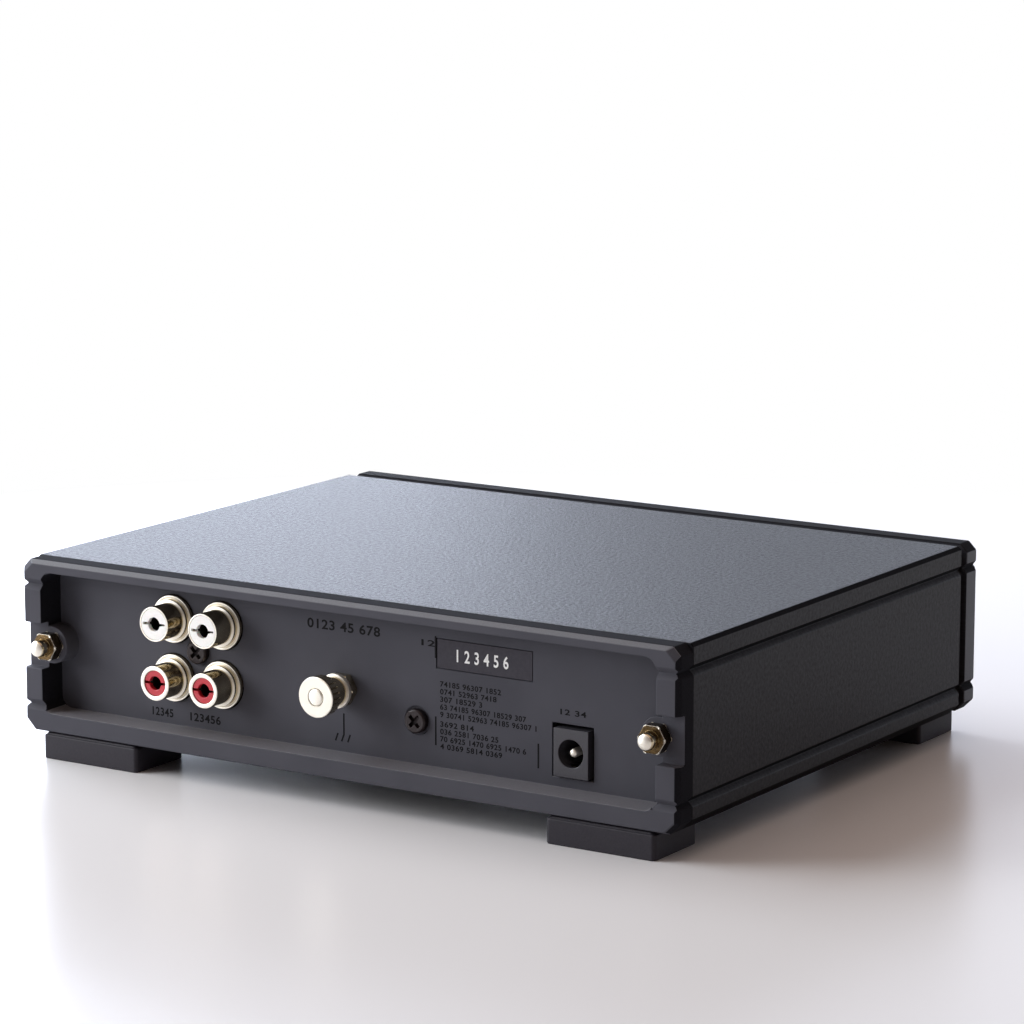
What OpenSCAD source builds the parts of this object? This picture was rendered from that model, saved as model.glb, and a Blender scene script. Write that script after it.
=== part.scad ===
// Phono preamp: an extruded sleeve, clamped between a thick front fascia and a moulded rear
// panel by two long tie rods. One circuit board slides in the sleeve's card rails.
// X runs across the case, +Y is the rear with the sockets, +Z is up. The origin lies on the
// floor under the middle of the case.

/* [Case] */
// Width of the case
case_w = 180; // [174:1:220]
// Depth of the case, from the front face to the rear rim
case_d = 142; // [138:1:180]
// Height of the sleeve
sleeve_h = 41.4; // [40:0.2:60]
// Wall of the sleeve
sleeve_wall = 2.5; // [2.2:0.1:3]
// Chamfer along the sleeve's top edges
sleeve_chamfer = 0.8; // [0.4:0.1:2]
// Chamfer along the top edges of the fascia and the rear panel
top_chamfer = 2; // [1:0.25:3]
// Chamfer along the bottom edges
bottom_chamfer = 2.5; // [1:0.25:3]
// Depth of the V-grooves along the sides
groove_depth = 1.2; // [0.6:0.1:1.5]
// Height of the V-grooves
groove_h = 2.3; // [1.6:0.1:3]
// Lower groove, above the underside of the sleeve
groove_low = 6.45; // [6:0.05:7.5]
// Upper groove, below the top of the sleeve
groove_high = 5.9; // [4.5:0.1:6.5]

/* [Card rails] */
// How far the rails stand out of the sleeve's wall
rail_depth = 2.2; // [1.8:0.1:2.6]
// Thickness of each rail
rail_t = 1.2; // [1:0.1:1.6]
// Thickness of the circuit board
board_t = 1.6; // [1.2:0.1:2]

/* [Fascia] */
// Thickness of the front fascia
fascia_t = 5.8; // [5:0.2:9]
// Rounded edge of the front face
fascia_edge = 0.8; // [0.4:0.1:1.5]
// Shadow gap between the fascia and the sleeve
gap_t = 2.9; // [2:0.1:5]
// How far the carrier in the gap is set in
gap_inset = 1.4; // [0.8:0.1:1.8]
// How far the carrier's lip enters the sleeve
lip_depth = 2; // [1:0.1:2.4]
// Thickness of the carrier's lip
lip_t = 2; // [1.4:0.1:3]

/* [Rear panel] */
// Depth of the rim behind the sleeve
rim_d = 6.2; // [5:0.1:8]
// Depth of the socket field below the rim
recess_d = 7.5; // [6.5:0.1:9]
// Thickness of the socket field
panel_t = 2.5; // [2:0.1:3]
// Width of the rim at the sides
rim_side = 5.7; // [5:0.1:7]
// Width of the rim at the top
rim_top = 2.8; // [2.7:0.1:3.4]
// Width of the rim at the bottom
rim_bottom = 4.7; // [3.5:0.1:5.2]
// Corner radius of the socket field
recess_r = 3; // [1:0.5:5]
// Bevel of the rim's rear edge, across
bevel = 0.9; // [0.4:0.1:1.5]
// Bevel of the rim's rear edge, along the depth
bevel_d = 1.2; // [0.6:0.1:2]

/* [Tie rods] */
// Radius of a tie rod
rod_r = 2; // [1.5:0.1:2.4]
// Rod axis in from the case's side
rod_inset = 6.6; // [6.5:0.1:7.5]
// Radius of the lug around each rod
lug_r = 4.5; // [4.2:0.1:6.4]
// Half the height of the notch beside each lug
lug_notch = 5.5; // [4.5:0.1:6.5]
// Drop of the nut seat below the rim
seat_drop = 2.8; // [2:0.1:4]
// Width across the flats of a rod's nut
rod_nut_af = 6.2; // [5.8:0.1:7]
// Height of a nut
nut_h = 3.2; // [2.4:0.1:4]
// How far a rod stands out of its nut
rod_proud = 3.3; // [0.8:0.1:3.3]
// Radius of the threaded inserts in the fascia
insert_r = 3.5; // [3:0.1:4]
// Length of the threaded inserts
insert_len = 4.2; // [3:0.1:4.4]

/* [Feet] */
// Height of the feet
foot_h = 6.3; // [4:0.1:12]
// Width of a foot
foot_w = 27.8; // [20:0.2:34]
// Length of a foot
foot_l = 17.9; // [14:0.1:24]
// Foot in from the case's side
foot_inset = 5.7; // [4:0.1:8]
// Radius of the foot screws
foot_screw_r = 1.5; // [1.2:0.1:2]

/* [Phono sockets] */
// Middle of the group of four sockets, in from the case's side
rca_side = 46.5; // [42:0.5:50]
// Pitch of the sockets
rca_pitch = 14; // [13:0.1:14.4]
// Lower row above the circuit board
rca_low = 8.85; // [8.3:0.05:9.2]
// Radius of a socket barrel
barrel_r = 4.1; // [3.9:0.05:4.3]
// How far a barrel stands out of the field
barrel_len = 7.8; // [6.5:0.1:9]
// Radius of a barrel's flange
flange_r = 5.6; // [5:0.1:6]
// Radius of the step between the flange and the barrel
step_r = 4.8; // [4.5:0.1:4.9]
// Radius of the insulators
insulator_r = 3; // [2.6:0.05:3.3]
// Bore of the centre contacts
contact_bore_r = 1.65; // [1.5:0.05:1.8]
// Wall of the centre contacts
contact_wall = 0.6; // [0.5:0.05:0.7]
// Depth of the socket block behind the panel
block_len = 16; // [10:0.5:22]

/* [Power inlet] */
// Middle of the power socket, in from the case's side
jack_side = 31.1; // [28:0.1:36]
// Width of the power socket
jack_w = 9; // [8.6:0.1:10]
// Height of the power socket
jack_h = 11; // [10:0.1:12]
// Length of the power socket
jack_len = 16; // [14:0.1:18]
// How far the power socket stands out of the field
jack_proud = 1; // [0.2:0.1:1.5]
// Socket axis above the circuit board
jack_axis = 5.5; // [5:0.1:6]
// Bore of the power socket
jack_bore_r = 3.2; // [2.9:0.05:3.4]
// Radius of the power socket's pin
jack_pin_r = 1; // [0.6:0.05:1.25]
// Gap around the power socket
jack_gap = 0.8; // [0.4:0.1:1]

/* [Ground terminal] */
// Axis of the ground terminal
ground_x = 2.4; // [-4:0.2:10]
// Axis above the circuit board
ground_up = 12.35; // [11:0.05:16]
// Radius of the threaded stud
stud_r = 2; // [1.6:0.1:2.2]
// Radius of the thumb nut
thumb_r = 4.7; // [4.2:0.1:6]
// Length of the thumb nut
thumb_len = 7.2; // [5:0.1:9]
// Number of knurls around the thumb nut
thumb_knurls = 24; // [16:1:32]
// Radius of the ground washer
washer_r = 4.05; // [3.6:0.05:5]
// Thickness of the ground washer
washer_t = 1.1; // [0.8:0.1:1.6]
// Height of the ground terminal's outer nut
ground_nut_h = 2.4; // [2:0.1:3.2]
// Width across the flats of the ground terminal's nuts
ground_nut_af = 7; // [6.5:0.1:8]

/* [Panel screws] */
// Height of the socket block's screw above the circuit board
block_screw_up = 15.75; // [14:0.05:17]
// Screw of the board bracket, in from the case's side
bracket_side = 72.3; // [68:0.1:76]
// Height of the bracket's screw above the circuit board
bracket_up = 7.45; // [6:0.05:10]
// Radius of a panel screw
screw_r = 1.45; // [1.2:0.05:1.6]
// Radius of a panel screw's head
head_r = 2.8; // [2.5:0.1:3.2]
// Height of a panel screw's head
head_h = 1.3; // [1:0.1:1.8]

/* [Number label] */
// Far end of the label recess, in from the case's side
label_side = 67.1; // [65:0.1:69]
// Length of the label recess
label_w = 25.5; // [20:0.1:27]
// Height of the label recess
label_h = 6.9; // [5:0.1:7.4]
// Depth of the label recess
label_d = 0.6; // [0.4:0.05:1]
// Label below the upper edge of the field
label_drop = 4.3; // [2:0.1:5]

/* [Front controls] */
// Axis of the power button, in from the case's side
button_side = 24; // [20:0.5:28]
// Axis of the controls above the circuit board
control_up = 9; // [8:0.1:12]
// Radius of the power button
button_r = 4.5; // [3.5:0.1:5.5]
// How far the button stands out of the fascia
button_proud = 3.75; // [3.4:0.05:5]
// Travel of the power button
button_travel = 3; // [1.5:0.1:3]
// Axis of the power light, in from the case's side
led_side = 40; // [37:0.5:50]
// Radius of the light
led_r = 1.5; // [1:0.1:2]

/* [Fits] */
// Clearance between fixed pieces
fit = 0.15; // [0.05:0.05:0.2]
// Clearance of a running or threaded fit
run_fit = 0.05; // [0.02:0.01:0.08]
// Clearance around moving pieces
move_gap = 0.3; // [0.2:0.05:0.5]

/* [Hidden] */
$fn = 48;

// Planes across the case, from the front to the rear
half_w = case_w / 2;
front_y = -case_d / 2;
rim_y = case_d / 2;
fascia_y = front_y + fascia_t;
sleeve_y0 = fascia_y + gap_t;
sleeve_y1 = rim_y - rim_d;
field_y = rim_y - recess_d;
panel_y = field_y - panel_t;
seat_y = rim_y - seat_drop;
lip_y = sleeve_y0 + lip_depth;

// Levels above the floor
low_z = foot_h;
high_z = foot_h + sleeve_h;
groove_low_z = low_z + groove_low;
groove_high_z = high_z - groove_high;
rod_z = (low_z + high_z) / 2;
board_z = groove_low_z - board_t / 2;
board_top = board_z + board_t;

// Inside of the sleeve
bore_w = half_w - sleeve_wall;
bore_low = low_z + sleeve_wall;
bore_high = high_z - sleeve_wall;
rail_w = bore_w - rail_depth;
plug_w = rail_w - fit;

// Socket field
field_w = half_w - rim_side;
field_low = low_z + rim_bottom;
field_high = high_z - rim_top;

// Tie rods
rod_x = half_w - rod_inset;
rod_end_y = seat_y + nut_h + rod_proud;
insert_y = fascia_y - insert_len;
thread_chamfer = 0.5;

// Feet
foot_x = half_w - foot_inset - foot_w / 2;
foot_y = rim_y - foot_l / 2;
foot_screw_inset = 5;
foot_screw_y = rim_y - foot_l + foot_screw_inset;
foot_floor = 2.5;
foot_top_inset = 0.5;

// Phono sockets: two columns by two rows
rca_x = half_w - rca_side;
input_x = rca_x + rca_pitch / 2;
output_x = rca_x - rca_pitch / 2;
right_z = board_top + rca_low;
left_z = right_z + rca_pitch;
block_margin = 6.5;
block_w = rca_pitch + 2 * block_margin;
block_top = left_z + block_margin + 0.5;
block_y = panel_y - block_len;
flange_t = 1;
step_t = 1;
contact_r = contact_bore_r + contact_wall;
contact_depth = 1.2;
contact_tail = 3.5;
slit_h = 0.6;
slit_w = 2 * insulator_r + 0.2;
cap_r = barrel_r - 0.35;
cap_t = 0.6;
red_drop = 0.2;

// Power inlet
jack_x = jack_side - half_w;
jack_face_y = field_y + jack_proud;
jack_z = board_top + jack_axis;
jack_bore_len = 9.5;
jack_floor_y = jack_face_y - jack_bore_len;
jack_back = jack_face_y - jack_len;
jack_root_r = jack_pin_r + 0.5;

// Ground terminal
ground_z = board_top + ground_up;
tag_t = 0.8;
tag_drop = 7.4;
inner_nut_h = 2.4;
stud_y0 = panel_y - tag_t - inner_nut_h - 2;
washer_y = field_y + ground_nut_h + move_gap;
thumb_y = washer_y + washer_t + run_fit;
stud_y1 = thumb_y + thumb_len + 0.2;
wire_r = 0.8;
wire_bend = 3.5;
wire_run = 8.5;
wire_y = panel_y - wire_run;

// Panel screws
bracket_x = bracket_side - half_w;
block_screw_z = board_top + block_screw_up;
bracket_z = board_top + bracket_up;
screw_reach = 7;
ring_w = 0.5;
ring_d = 0.4;
cross_w = 0.9;
bracket_w = 13;
bracket_foot = 14;
bracket_t = 2;

// Number label
label_x0 = label_side - half_w;
label_high = field_high - label_drop;

// Front controls
button_x = button_side - half_w;
led_x = led_side - half_w;
control_z = board_top + control_up;
hole_r = button_r + move_gap;
button_y0 = front_y - button_proud;
button_y1 = fascia_y - 1;
plunger_r = 1.8;
plunger_socket = 4;
slider_w = 5;
slider_y0 = lip_y - 0.9;
board_y0 = lip_y + 2;
board_y1 = panel_y - 4;
switch_w = 12;
switch_y0 = board_y0 + 1;
switch_rise = 6.4;
switch_top = control_z + switch_rise;
slider_run = 6;
slider_y1 = switch_y0 + slider_run;
stem_r = 1.1;
stem_len = 3.6;
switch_back = 1;
switch_y1 = slider_y1 + stem_len + button_travel + move_gap + switch_back;
spring_r = 1.8;
spring_wire = 0.3;
spring_turns = 5;
pipe_flange_r = led_r + 1;
pipe_flange_t = 1.5;
led_y = sleeve_y0 + pipe_flange_t + move_gap;
led_len = 5.5;

// Power half of the board, in steps from the left tie rod
part_gap = 4;
can_r = 8;
can_h = 25;
can_pitch = 2 * can_r + part_gap;
can_x0 = -rod_x + rod_r + part_gap + can_r;
can_x = [can_x0, can_x0 + can_pitch];
can_setback = 33;
can_y = [for (i = [0, 1]) board_y1 - can_setback - i * can_pitch];
diode_r = 1.35;
diode_len = 5.2;
diode_x = [can_x[1] + can_r + part_gap / 2];
diode_y = [for (i = [0:3]) board_y1 - 6 - 5 * i];
sink_w = 16;
sink_d = 12;
sink_h = 25;
sink_base = 2.5;
sink_fin = 1.2;
sink_fins = 6;
sink_y = can_y[1] - 1.25 * part_gap;
regulator_x = [for (i = [0, 1])
    can_x[1] + can_r + part_gap + sink_w / 2 + i * (sink_w + part_gap / 2)];
tab_w = 10;
tab_t = 1.3;
tab_low = 4;
tab_high = 19.5;
tab_hole_up = 16.5;
regulator_t = 4.4;
regulator_top = 13;

// Audio half of the board, in steps from the right tie rod
transistor_r = 2.4;
transistor_h = 4.8;
transistor_x = [rod_x - rod_r - part_gap - transistor_r];
right_x = transistor_x[0];
coupling_r = 4;
coupling_h = 12;
coupling_x = [for (i = [0:3]) right_x - i * (2 * coupling_r + part_gap * 0.75)];
coupling_y = [block_y - coupling_r - 1.25 * part_gap];
film_size = [13, 5, 9];
film_inset = 21;
film_x = [for (i = [0:2]) right_x - film_inset - i * (film_size[0] + part_gap)];
film_drop = 12;
film_step = 48;
film_y = [for (i = [0, 1]) coupling_y[0] - film_drop - i * film_step];
chip_size = [9.4, 6.4, 3.4];
chip_pitch = 26;
chip_x = [for (i = [0, 1]) film_x[0] - part_gap - i * chip_pitch];
chip_row = 16;
chip_y = [for (i = [0, 1]) film_y[0] - (i + 1) * chip_row];
pin_pitch = 2.54;
resistor_r = 1.15;
resistor_len = 6.3;
lead_span = 9.5;
lead_r = 0.35;
resistor_inset = 13;
resistor_x = [for (i = [0:3]) right_x - resistor_inset - i * (lead_span + part_gap)];
resistor_y = [for (i = [0:2]) chip_y[0] + chip_row / 2 - i * chip_row, film_y[1] - 2.5 * part_gap];
transistor_pitch = 12;
transistor_y = [for (i = [0:3]) coupling_y[0] - chip_row - i * transistor_pitch];

// ---------------------------------------------------------------- shared shapes

// Draws a flat shape of X and Z, as thick as from y0 to y1
module slab(y0, y1) {
    translate([0, y1, 0]) rotate([90, 0, 0]) linear_extrude(y1 - y0) children();
}

// Moves a piece to an axis that runs along Y
module at(x, z) {
    translate([x, 0, z]) children();
}

// A round bar along Y
module bar(r, y0, y1) {
    translate([0, y0, 0]) rotate([-90, 0, 0]) cylinder(r = r, h = y1 - y0);
}

// A turned piece about Y, from an outline of [radius, y]
module turned(outline) {
    rotate([-90, 0, 0]) rotate_extrude() polygon(outline);
}

// A flat rectangle between two corners
module rect(x0, x1, z0, z1) {
    translate([x0, z0]) square([x1 - x0, z1 - z0]);
}

// A box between two corners
module block(low, high) {
    translate(low) cube(high - low);
}

// A flat rectangle with round corners
module round_rect(x0, x1, z0, z1, r) {
    rect(x0 + r, x1 - r, z0, z1);
    rect(x0, x1, z0 + r, z1 - r);
    for (x = [x0 + r, x1 - r], z = [z0 + r, z1 - r]) translate([x, z]) circle(r = r);
}

// Cross-section of the case without its grooves
module plain_outline(w, low, high, low_cut, high_cut) {
    polygon([
        [-w, low + low_cut], [-w + low_cut, low], [w - low_cut, low], [w, low + low_cut],
        [w, high - high_cut], [w - high_cut, high], [-w + high_cut, high], [-w, high - high_cut]
    ]);
}

// One V-groove, seen from its end, cut into the side at w
module groove_outline(w, z) {
    past = 1;
    reach = groove_h / 2 * (groove_depth + past) / groove_depth;
    polygon([[w - groove_depth, z], [w + past, z - reach], [w + past, z + reach]]);
}

// Cross-section of the case with its four V-grooves
module case_outline(w, low, high, high_cut) {
    difference() {
        plain_outline(w, low, high, bottom_chamfer, high_cut);
        for (side = [-1, 1], z = [groove_low_z, groove_high_z])
            scale([side, 1]) groove_outline(w, z);
    }
}

// A hexagon nut with chamfered corners, from y = 0 to y = h
module nut(flats, h, bore_r) {
    corner_r = flats / 2 / cos(30);
    cut = 0.35;
    difference() {
        intersection() {
            rotate([-90, 0, 0]) cylinder(r = corner_r, h = h, $fn = 6);
            turned([
                [0, 0], [corner_r - cut, 0], [corner_r, cut],
                [corner_r, h - cut], [corner_r - cut, h], [0, h]
            ]);
        }
        bar(bore_r, -1, h + 1);
    }
}

// A threaded bar with a chamfer at both ends
module threaded_bar(r, y0, y1) {
    turned([
        [0, y0], [r - thread_chamfer, y0], [r, y0 + thread_chamfer],
        [r, y1 - thread_chamfer], [r - thread_chamfer, y1], [0, y1]
    ]);
}

// A cross-recess screw: its head stands on the plane y = 0 and its shank points to -Y
module cross_screw(r, reach, head, height) {
    edge = 0.35;
    recess = height * 0.7;
    arm = head * 0.62;
    difference() {
        turned([
            [0, -reach], [r - edge, -reach], [r, -reach + edge], [r, 0], [head, 0],
            [head, height - edge], [head - edge, height], [0, height]
        ]);
        for (turn = [45, 135]) rotate([0, turn, 0])
            block([-arm, height - recess, -cross_w / 2], [arm, height + 1, cross_w / 2]);
    }
}

// ---------------------------------------------------------------- case

module sleeve() {
    color("#3a3a3f") {
        difference() {
            slab(sleeve_y0, sleeve_y1) case_outline(half_w, low_z, high_z, sleeve_chamfer);
            slab(sleeve_y0 - 1, sleeve_y1 + 1) rect(-bore_w, bore_w, bore_low, bore_high);
            foot_screw_places() cylinder(r = foot_screw_r + run_fit, h = low_z + sleeve_wall + 1);
        }
        card_rails(groove_low_z);
        card_rails(groove_high_z);
    }
}

// Two rails on each side wall, with a slot for the board between them
module card_rails(z) {
    slot = board_t / 2 + fit;
    root = sleeve_wall / 3;
    for (side = [-1, 1], level = [z - slot - rail_t, z + slot]) scale([side, 1, 1])
        block([rail_w, sleeve_y0, level], [bore_w + root, sleeve_y1, level + rail_t]);
}

module front_fascia() {
    color("#323237") difference() {
        union() {
            slab(front_y + fascia_edge, fascia_y)
                case_outline(half_w, low_z, high_z, top_chamfer);
            hull() {
                slab(front_y + fascia_edge - 0.01, front_y + fascia_edge)
                    fascia_front(0);
                slab(front_y, front_y + 0.01) fascia_front(fascia_edge);
            }
        }
        for (side = [-1, 1], z = [groove_low_z, groove_high_z]) scale([side, 1, 1])
            slab(front_y - 1, fascia_y + 1) groove_outline(half_w, z);
        for (side = [-1, 1]) at(side * rod_x, rod_z)
            bar(insert_r + run_fit, insert_y, fascia_y + 1);
        at(button_x, control_z) bar(hole_r, front_y - 1, fascia_y + 1);
        at(led_x, control_z) bar(led_r + fit, front_y - 1, fascia_y + 1);
    }
}

module fascia_front(edge) {
    plain_outline(half_w - edge, low_z + edge, high_z - edge, bottom_chamfer, top_chamfer);
}

module front_carrier() {
    color("#1d1d20") difference() {
        union() {
            slab(fascia_y, sleeve_y0) case_outline(
                half_w - gap_inset, low_z + gap_inset, high_z - gap_inset, top_chamfer
            );
            slab(sleeve_y0, lip_y) difference() {
                rect(-plug_w, plug_w, bore_low + fit, bore_high - fit);
                rect(-plug_w + lip_t, plug_w - lip_t, bore_low + fit + lip_t, bore_high - fit - lip_t);
            }
        }
        for (side = [-1, 1]) at(side * rod_x, rod_z) bar(rod_r + fit, fascia_y - 1, lip_y + 1);
        at(button_x, control_z) bar(hole_r, fascia_y - 1, lip_y + 1);
        at(led_x, control_z) bar(led_r + fit, fascia_y - 1, lip_y + 1);
    }
}

module rear_panel() {
    inner_x = sleeve_wall + fit;
    color("#4a464c") difference() {
        union() {
            hull() {
                slab(sleeve_y1, rim_y - bevel_d)
                    plain_outline(half_w, low_z, high_z, bottom_chamfer, top_chamfer);
                slab(rim_y - 0.01, rim_y) plain_outline(
                    half_w - bevel, low_z + bevel / 2, high_z - bevel,
                    bottom_chamfer, top_chamfer + bevel / 2
                );
            }
            slab(panel_y, sleeve_y1 + 0.5)
                rect(-plug_w, plug_w, bore_low + fit, bore_high - fit);
            intersection() {
                for (side = [-1, 1]) at(side * rod_x, rod_z) bar(lug_r, panel_y, sleeve_y1 + 0.5);
                slab(panel_y, sleeve_y1 + 0.5)
                    rect(-half_w + inner_x, half_w - inner_x, low_z, high_z);
            }
        }
        difference() {
            slab(field_y, rim_y + 1)
                round_rect(-field_w, field_w, field_low, field_high, recess_r);
            for (side = [-1, 1]) at(side * rod_x, rod_z) bar(lug_r, panel_y, rim_y + 1);
        }
        for (side = [-1, 1], z = [groove_low_z, groove_high_z]) scale([side, 1, 1]) {
            slab(sleeve_y1 - 1, rim_y + 1) groove_outline(half_w, z);
            rear_groove(z);
        }
        for (side = [-1, 1]) at(side * rod_x, rod_z) {
            bar(rod_r + fit, panel_y - 1, rim_y);
            bar(lug_r, seat_y, rim_y + 1);
            scale([side, 1, 1])
                block([0, seat_y, -lug_notch], [rod_inset + 1, rim_y + 1, lug_notch]);
        }
        for (x = [input_x, output_x], z = [left_z, right_z]) at(x, z)
            bar(flange_r + fit, panel_y - 1, field_y + 1);
        slab(panel_y - 1, field_y + 1) rect(
            jack_x - jack_w / 2 - jack_gap, jack_x + jack_w / 2 + jack_gap,
            board_top - jack_gap / 2, board_top + jack_h + jack_gap
        );
        at(ground_x, ground_z) bar(stud_r + fit, panel_y - 1, field_y + 1);
        panel_screw_places() {
            bar(screw_r + fit, -panel_t - 1, 1);
            bar(head_r + ring_w, -ring_d, 1);
        }
        slab(field_y - label_d, field_y + 1)
            rect(label_x0 - label_w, label_x0, label_high - label_h, label_high);
    }
}

// The short groove across the rear face of the side rim
module rear_groove(z) {
    translate([field_w - 1, rim_y, z]) rotate([90, 0, 90]) linear_extrude(rim_side + 2)
        polygon([[-groove_depth, 0], [1, groove_h], [1, -groove_h]]);
}

module panel_screw_places() {
    translate([rca_x, field_y, block_screw_z]) children();
    translate([bracket_x, field_y, bracket_z]) children();
}

module number_label() {
    color("#57535a") slab(field_y - label_d, field_y - 0.1) rect(
        label_x0 - label_w + fit, label_x0 - fit,
        label_high - label_h + fit, label_high - fit
    );
}

// ---------------------------------------------------------------- tie rods

module tie_rod(side) {
    color("#d8d4cc") at(side * rod_x, rod_z)
        threaded_bar(rod_r, insert_y + thread_chamfer, rod_end_y);
}

module tie_rod_nuts() {
    color("#d8d4cc") for (side = [-1, 1])
        translate([side * rod_x, seat_y, rod_z]) nut(rod_nut_af, nut_h, rod_r + run_fit);
}

module fascia_inserts() {
    color("#c8a850") for (side = [-1, 1]) at(side * rod_x, rod_z) difference() {
        bar(insert_r, insert_y, fascia_y);
        bar(rod_r + run_fit, insert_y - 1, fascia_y + 1);
    }
}

// ---------------------------------------------------------------- feet

// A foot, its outer face turned to the side and to the end that it stands at
module foot(side, end) {
    color("#1a1a1c") translate([side * foot_x, end * foot_y, 0]) difference() {
        union() {
            linear_extrude(foot_h - foot_top_inset)
                round_rect(-foot_w / 2, foot_w / 2, -foot_l / 2, foot_l / 2, 1);
            linear_extrude(foot_h) round_rect(
                -foot_w / 2 + foot_top_inset, foot_w / 2 - foot_top_inset,
                -foot_l / 2 + foot_top_inset, foot_l / 2 - foot_top_inset, 1
            );
        }
        translate([0, end * (foot_screw_y - foot_y), -1]) {
            cylinder(r = foot_screw_r + fit, h = foot_h + 2);
            cylinder(r = foot_screw_r + 1.8, h = foot_h - foot_floor + 1);
        }
    }
}

// Puts a child under each foot screw, on the floor
module foot_screw_places() {
    for (x = [-foot_x, foot_x], y = [-foot_screw_y, foot_screw_y])
        translate([x, y, 0]) children();
}

module foot_screws() {
    tip = 1;
    color("#8d8f94") foot_screw_places()
        translate([0, 0, foot_h - foot_floor]) rotate([-90, 0, 0])
            cross_screw(foot_screw_r, foot_floor + sleeve_wall + tip, foot_screw_r + 1.4, 1.6);
}

// ---------------------------------------------------------------- phono sockets

module rca_block() {
    color("#202024") difference() {
        slab(block_y, panel_y)
            rect(rca_x - block_w / 2, rca_x + block_w / 2, board_top, block_top);
        for (x = [input_x, output_x], z = [left_z, right_z]) at(x, z)
            bar(contact_r + run_fit, panel_y - contact_tail - run_fit, panel_y + 1);
        at(rca_x, block_screw_z) bar(screw_r + run_fit, panel_y - screw_reach, panel_y + 1);
    }
}

// The turned barrel: flange on the block, a step in the panel's hole, and the open barrel
module rca_shell(x, z, capped) {
    edge = 0.3;
    flange_y = field_y + flange_t;
    step_y = flange_y + step_t;
    end_y = field_y + barrel_len;
    color("#d8d4cc") at(x, z) difference() {
        turned([
            [0, panel_y], [flange_r, panel_y], [flange_r, flange_y - edge],
            [flange_r - edge, flange_y], [step_r, flange_y], [step_r, step_y - edge],
            [step_r - edge, step_y], [barrel_r, step_y], [barrel_r, end_y - edge],
            [barrel_r - edge, end_y], [0, end_y]
        ]);
        bar(insulator_r + run_fit, panel_y - 1, end_y + 1);
        if (capped) bar(cap_r, end_y - cap_t, end_y + 1);
    }
}

module rca_insulator(x, z, capped) {
    end_y = field_y + barrel_len - (capped ? 0 : red_drop);
    color(capped ? "#f2f2ee" : "#b3101a") at(x, z) difference() {
        union() {
            bar(insulator_r, panel_y, end_y);
            if (capped) bar(cap_r - run_fit, end_y - cap_t, end_y);
        }
        bar(contact_bore_r, panel_y - 1, end_y + 1);
        bar(contact_r + run_fit, panel_y - 1, end_y - contact_depth);
        block([-slit_w / 2, end_y - contact_depth, -slit_h / 2],
            [slit_w / 2, end_y + 1, slit_h / 2]);
    }
}

module rca_contact(x, z) {
    end_y = field_y + barrel_len - red_drop - contact_depth;
    color("#cfae5a") at(x, z) difference() {
        bar(contact_r, panel_y - contact_tail, end_y);
        bar(contact_bore_r, panel_y - contact_tail + 1, end_y + 1);
    }
}

module panel_screws() {
    color("#151517") panel_screw_places() translate([0, -ring_d, 0])
        cross_screw(screw_r, panel_t - ring_d + screw_reach - 1, head_r, head_h + ring_d);
}

// ---------------------------------------------------------------- ground terminal

module ground_stud() {
    color("#d8d4cc") at(ground_x, ground_z) threaded_bar(stud_r, stud_y0, stud_y1);
}

module ground_hex_nut() {
    color("#c9c3b6") translate([ground_x, field_y, ground_z])
        nut(ground_nut_af, ground_nut_h, stud_r + run_fit);
}

module ground_inner_nut() {
    color("#c9c3b6") translate([ground_x, panel_y - tag_t - inner_nut_h, ground_z])
        nut(ground_nut_af, inner_nut_h, stud_r + run_fit);
}

module ground_washer() {
    color("#dedad2") at(ground_x, ground_z) difference() {
        bar(washer_r, washer_y, washer_y + washer_t);
        bar(stud_r + run_fit, washer_y - 1, washer_y + washer_t + 1);
    }
}

module ground_thumb_nut() {
    edge = 0.5;
    groove_r = 0.32;
    end_y = thumb_y + thumb_len;
    color("#d8d4cc") at(ground_x, ground_z) difference() {
        turned([
            [0, thumb_y], [thumb_r - edge, thumb_y], [thumb_r, thumb_y + edge],
            [thumb_r, end_y - edge], [thumb_r - edge, end_y], [0, end_y]
        ]);
        bar(stud_r + run_fit, thumb_y - 1, end_y + 1);
        for (i = [0:thumb_knurls - 1]) rotate([0, i * 360 / thumb_knurls, 0])
            at(thumb_r + groove_r / 3, 0) bar(groove_r, thumb_y - 1, end_y + 1);
    }
}

// Solder tag under the inner nut, with a tail that points down to the board
module ground_tag() {
    tail_w = 4;
    tag_r = 4;
    color("#cbb98a") difference() {
        union() {
            at(ground_x, ground_z) bar(tag_r, panel_y - tag_t, panel_y);
            block([ground_x - tail_w / 2, panel_y - tag_t, ground_z - tag_drop - tail_w / 2],
                [ground_x + tail_w / 2, panel_y, ground_z]);
        }
        at(ground_x, ground_z) bar(stud_r + fit, panel_y - tag_t - 1, panel_y + 1);
        at(ground_x, ground_z - tag_drop) bar(wire_r + run_fit, panel_y - tag_t - 1, panel_y + 1);
    }
}

// Wire from the tag's tail, bent down onto the board
module ground_wire() {
    wire_z = ground_z - tag_drop;
    bend_y = wire_y + wire_bend;
    color("#2f8f3a") at(ground_x, 0) {
        translate([0, 0, wire_z]) bar(wire_r, bend_y, panel_y);
        translate([0, bend_y, wire_z - wire_bend]) rotate([90, 0, 90]) rotate([0, 0, 90])
            rotate_extrude(angle = 90) translate([wire_bend, 0]) circle(r = wire_r);
        translate([0, wire_y, board_top])
            cylinder(r = wire_r, h = wire_z - wire_bend - board_top);
    }
}

// ---------------------------------------------------------------- power inlet

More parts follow.
